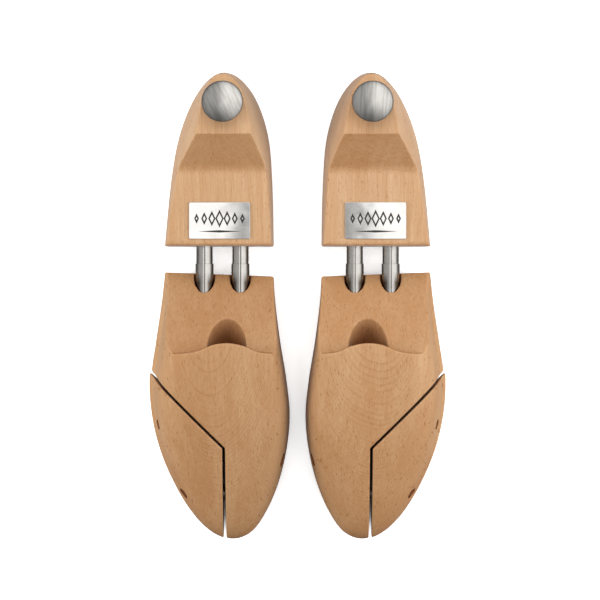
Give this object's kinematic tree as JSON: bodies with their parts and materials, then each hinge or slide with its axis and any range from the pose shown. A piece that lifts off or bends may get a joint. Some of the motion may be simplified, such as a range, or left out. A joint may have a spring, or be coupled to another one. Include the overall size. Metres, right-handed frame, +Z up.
{
  "type": "shoe tree",
  "caption": "Mirrored pair of beech shoe trees: split spring toe, twin telescoping tubes, heel block with a metal knob and plate, finger hole in the instep.",
  "frame": {"origin": "centre of the pair on the surface that the soles stand on, midway between the toe tips and the heel ends", "axes": "+Z up; toes point to -Y and heels to +Y; the right-foot tree is at -X and the left-foot tree at +X"},
  "size_m": [0.1842, 0.2904, 0.0738],
  "materials": {
    "beech": "fine-sanded beech with a clear satin finish",
    "tube_steel": "drawn, satin, with an open lengthwise seam",
    "satin_nickel": "brushed nickel plate",
    "plate_nickel": "polished nickel with a darkened engraved motif",
    "spring_steel": "bright wire",
    "pin_steel": "plain steel"
  },
  "bodies": {
    "right_forefoot": {"right_forefoot_block": "beech", "right_sleeve_inner": "tube_steel", "right_sleeve_outer": "tube_steel", "right_spring_seat_inner": "pin_steel", "right_spring_seat_outer": "pin_steel", "right_sleeve_pin_inner": "pin_steel", "right_sleeve_pin_outer": "pin_steel", "right_tube_spring_inner": "spring_steel", "right_tube_spring_outer": "spring_steel", "right_flap_spring_rear": "spring_steel", "right_flap_spring_front": "spring_steel"},
    "right_flap": {"right_toe_flap": "beech", "right_guide_pin_rear": "pin_steel", "right_guide_pin_front": "pin_steel", "right_flap_screw": "pin_steel"},
    "right_heel": {"right_heel_block": "beech", "right_tube_inner": "tube_steel", "right_tube_outer": "tube_steel", "right_tube_pin_inner": "pin_steel", "right_tube_pin_outer": "pin_steel", "right_knob": "satin_nickel", "right_knob_washer": "satin_nickel", "right_knob_stud": "pin_steel", "right_heel_plate": "plate_nickel"},
    "left_forefoot": {"left_forefoot_block": "beech", "left_sleeve_inner": "tube_steel", "left_sleeve_outer": "tube_steel", "left_spring_seat_inner": "pin_steel", "left_spring_seat_outer": "pin_steel", "left_sleeve_pin_inner": "pin_steel", "left_sleeve_pin_outer": "pin_steel", "left_tube_spring_inner": "spring_steel", "left_tube_spring_outer": "spring_steel", "left_flap_spring_rear": "spring_steel", "left_flap_spring_front": "spring_steel"},
    "left_flap": {"left_toe_flap": "beech", "left_guide_pin_rear": "pin_steel", "left_guide_pin_front": "pin_steel", "left_flap_screw": "pin_steel"},
    "left_heel": {"left_heel_block": "beech", "left_tube_inner": "tube_steel", "left_tube_outer": "tube_steel", "left_tube_pin_inner": "pin_steel", "left_tube_pin_outer": "pin_steel", "left_knob": "satin_nickel", "left_knob_washer": "satin_nickel", "left_knob_stud": "pin_steel", "left_heel_plate": "plate_nickel"}
  },
  "joints": [
    {"name": "right_tube_slide", "type": "slide", "parent": "right_forefoot", "child": "right_heel", "axis": [0, 1, 0], "range_m": [-0.0105, 0], "stiffness_N_per_m": 2000, "springref_m": 0.004, "deforming": ["right_tube_spring_inner", "right_tube_spring_outer"]},
    {"name": "right_flap_slide", "type": "slide", "parent": "right_forefoot", "child": "right_flap", "axis": [-1, 0, 0], "range_m": [-0.0015, 0], "stiffness_N_per_m": 6000, "springref_m": 0.001, "deforming": ["right_flap_spring_rear", "right_flap_spring_front"]},
    {"name": "left_tube_slide", "type": "slide", "parent": "left_forefoot", "child": "left_heel", "axis": [0, 1, 0], "range_m": [-0.0105, 0], "stiffness_N_per_m": 2000, "springref_m": 0.004, "deforming": ["left_tube_spring_inner", "left_tube_spring_outer"]},
    {"name": "left_flap_slide", "type": "slide", "parent": "left_forefoot", "child": "left_flap", "axis": [1, 0, 0], "range_m": [-0.0015, 0], "stiffness_N_per_m": 6000, "springref_m": 0.001, "deforming": ["left_flap_spring_rear", "left_flap_spring_front"]},
    {"name": "pair_spacing", "type": "slide", "parent": "right_forefoot", "child": "left_forefoot", "axis": [1, 0, 0], "range_m": [0, 0.1]}
  ]
}
